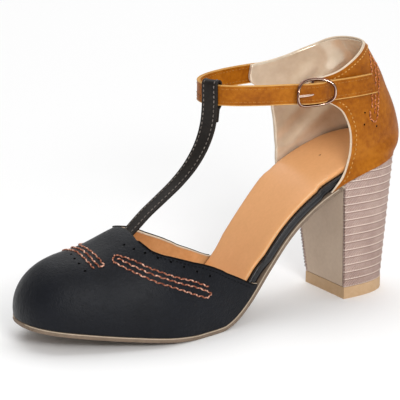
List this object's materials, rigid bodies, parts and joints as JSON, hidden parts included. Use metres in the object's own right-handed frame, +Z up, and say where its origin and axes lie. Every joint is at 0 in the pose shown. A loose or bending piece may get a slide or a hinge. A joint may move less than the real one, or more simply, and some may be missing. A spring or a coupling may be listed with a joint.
{
  "type": "t-strap shoe",
  "caption": "Left T-strap pump with a round closed toe, open waist, closed heel, buckled ankle strap and a high block heel.",
  "frame": {"origin": "on the floor, at the flat tread under the ball of the foot", "axes": "+X to the toe, +Y to the outer (lateral) side, +Z up"},
  "size_m": [0.2306, 0.0749, 0.1438],
  "materials": {
    "outsole_rubber": "matte",
    "black_wrap": "glossy",
    "tan_lining": "smooth satin",
    "black_nubuck": "nubuck",
    "ochre_leather": "satin",
    "rose_metal": "polished",
    "cream_heel": "satin",
    "ribbed_stack": "ribbed",
    "tan_rubber": "matte"
  },
  "bodies": {
    "root": {"outsole": "outsole_rubber", "insole_board": "black_wrap", "sock_lining": "tan_lining", "vamp": "black_nubuck", "quarter": "ochre_leather", "t_strap": "black_nubuck", "ankle_strap": "ochre_leather", "buckle_strap": "ochre_leather", "buckle_frame": "rose_metal", "buckle_prong": "rose_metal", "heel_block": "cream_heel", "heel_wrap": "ribbed_stack", "top_piece": "tan_rubber"}
  },
  "joints": []
}
